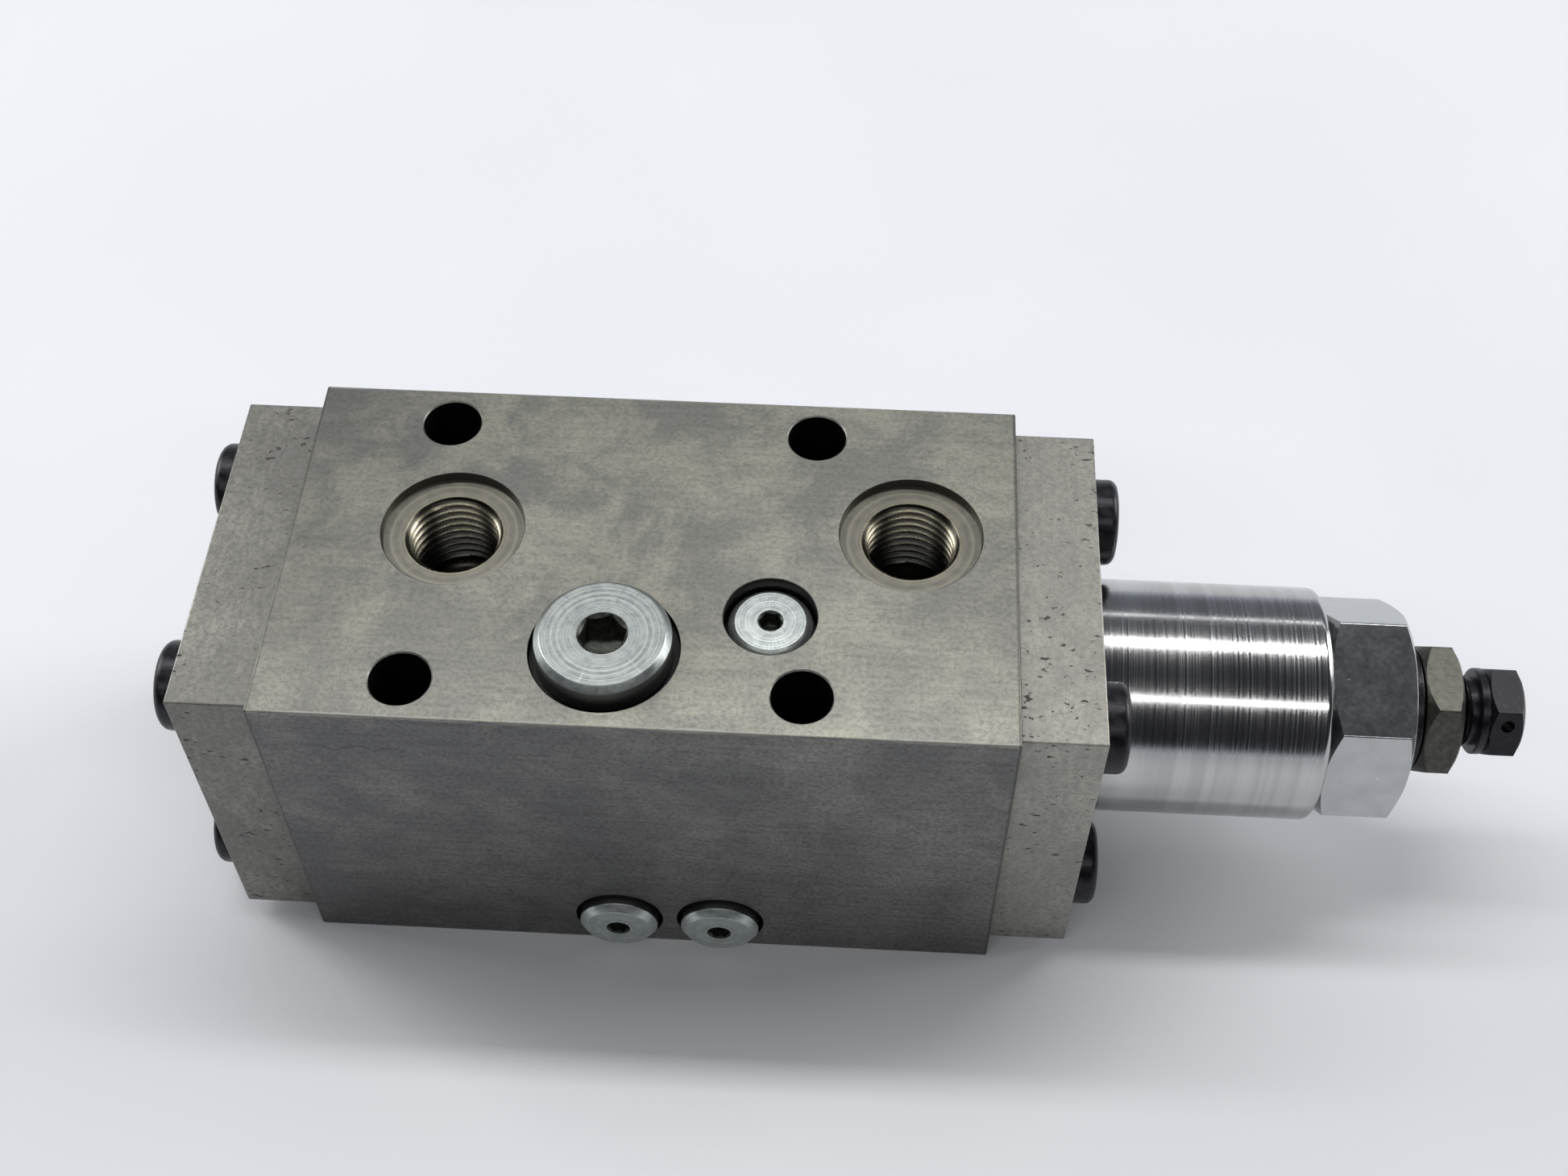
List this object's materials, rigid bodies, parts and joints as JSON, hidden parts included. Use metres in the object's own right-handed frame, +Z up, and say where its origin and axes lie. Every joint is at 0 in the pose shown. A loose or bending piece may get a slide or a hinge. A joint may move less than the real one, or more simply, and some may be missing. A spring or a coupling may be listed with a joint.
{
  "type": "hydraulic monoblock valve",
  "caption": "Steel monoblock hydraulic valve: ported block with bolted end covers, inner spool, check valve plug, spring housing, lock nut and adjusting screw.",
  "frame": {"origin": "centre of the block's flat base, midway between the block's two end faces", "axes": "+Z up from the base to the ported top face, +X along the spool towards the adjusting screw, +Y away from the face with the two drilling plugs"},
  "size_m": [0.1989, 0.062, 0.0637],
  "materials": {
    "block_steel": "milled steel with a thin grey-olive patina, blotchy",
    "cover_steel": "drawn steel plate, pitted, with bright nicked edges",
    "turned_steel": "bright turned steel with fine circumferential lines",
    "milled_steel": "milled hexagon, satin, a few nicks",
    "ground_steel": "ground and hardened, bright",
    "spring_steel": "oiled spring wire",
    "black_oxide": "black oxide, satin and slightly oily",
    "dark_nut": "olive-black phosphate on a milled hexagon",
    "zinc_plate": "pale zinc plate with turning rings",
    "rubber": "black nitrile, matt"
  },
  "bodies": {
    "valve_body": {"valve_block": "block_steel", "left_cover": "cover_steel", "right_cover": "cover_steel", "left_cover_screw_1": "black_oxide", "left_cover_screw_2": "black_oxide", "left_cover_screw_3": "black_oxide", "left_cover_screw_4": "black_oxide", "right_cover_screw_1": "black_oxide", "right_cover_screw_2": "black_oxide", "right_cover_screw_3": "black_oxide", "right_cover_screw_4": "black_oxide", "left_cover_seal": "rubber", "right_cover_seal": "rubber", "spring_housing": "turned_steel", "adjuster_cap": "milled_steel", "adjuster_cap_seal": "rubber", "check_plug": "zinc_plate", "check_plug_seal": "rubber", "check_spring": "spring_steel", "top_plug": "zinc_plate", "top_plug_seal": "rubber", "pilot_orifice": "ground_steel", "front_plug_left": "zinc_plate", "front_plug_left_seal": "rubber", "front_plug_right": "zinc_plate", "front_plug_right_seal": "rubber", "main_spring": "spring_steel"},
    "spool_body": {"spool": "ground_steel", "spool_spring_seat": "ground_steel"},
    "adjuster_seat_body": {"adjuster_spring_seat": "ground_steel"},
    "adjusting_screw_body": {"adjusting_screw": "black_oxide"},
    "nut_washer_body": {"lock_nut_washer": "black_oxide"},
    "lock_nut_body": {"lock_nut": "dark_nut"},
    "check_poppet_body": {"check_poppet": "ground_steel"}
  },
  "joints": [
    {"name": "spool_slide", "type": "slide", "parent": "valve_body", "child": "spool_body", "axis": [1, 0, 0], "range_m": [0, 0.005], "stiffness_N_per_m": 18000, "springref_m": -0.005, "deforming": ["main_spring"]},
    {"name": "adjuster_travel", "type": "slide", "parent": "valve_body", "child": "adjuster_seat_body", "axis": [1, 0, 0], "range_m": [-0.00225, 0.0045]},
    {"name": "adjusting_screw_turn", "type": "hinge", "parent": "adjuster_seat_body", "child": "adjusting_screw_body", "pos_m": [0.128, 0, 0.03], "axis": [1, 0, 0], "range_deg": [-541, 1081]},
    {"name": "lock_nut_travel", "type": "slide", "parent": "valve_body", "child": "nut_washer_body", "axis": [1, 0, 0], "range_m": [0, 0.00075]},
    {"name": "lock_nut_turn", "type": "hinge", "parent": "nut_washer_body", "child": "lock_nut_body", "pos_m": [0.118, 0, 0.03], "axis": [1, 0, 0], "range_deg": [0, 181]},
    {"name": "check_poppet_slide", "type": "slide", "parent": "valve_body", "child": "check_poppet_body", "axis": [0, 0, 1], "range_m": [0, 0.003], "stiffness_N_per_m": 600, "springref_m": -0.003, "deforming": ["check_spring"]}
  ],
  "couplings": [
    {"joint": "adjusting_screw_turn", "follows": "adjuster_travel", "rad_per_m": 4188.8},
    {"joint": "lock_nut_turn", "follows": "lock_nut_travel", "rad_per_m": 4188.8}
  ]
}
